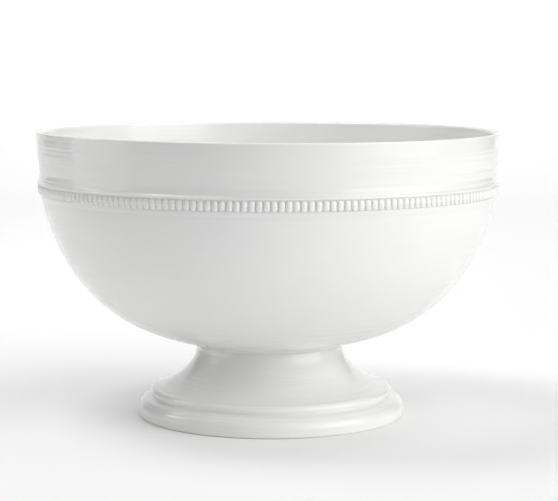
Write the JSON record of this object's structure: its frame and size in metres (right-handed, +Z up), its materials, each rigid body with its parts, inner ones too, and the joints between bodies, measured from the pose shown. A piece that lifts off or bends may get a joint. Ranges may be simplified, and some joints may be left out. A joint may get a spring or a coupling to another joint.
{
  "type": "punch bowl",
  "caption": "Large round open bowl on a flared hollow pedestal foot, with a beaded border under a tall collar, for serving punch.",
  "frame": {"origin": "centre of the face that the foot ring stands on, on the bowl's axis", "axes": "+Z up along the bowl's axis towards the lip; the shape is round, so X and Y are free"},
  "size_m": [0.3499, 0.35, 0.217],
  "materials": {
    "white_glaze": "clear gloss glaze over a white earthenware body"
  },
  "bodies": {
    "root": {"bowl_shell": "white_glaze", "lower_fillet": "white_glaze", "bead_strip": "white_glaze", "beads": "white_glaze", "upper_fillet": "white_glaze", "joint_ring": "white_glaze", "pedestal_foot": "white_glaze"}
  },
  "joints": []
}
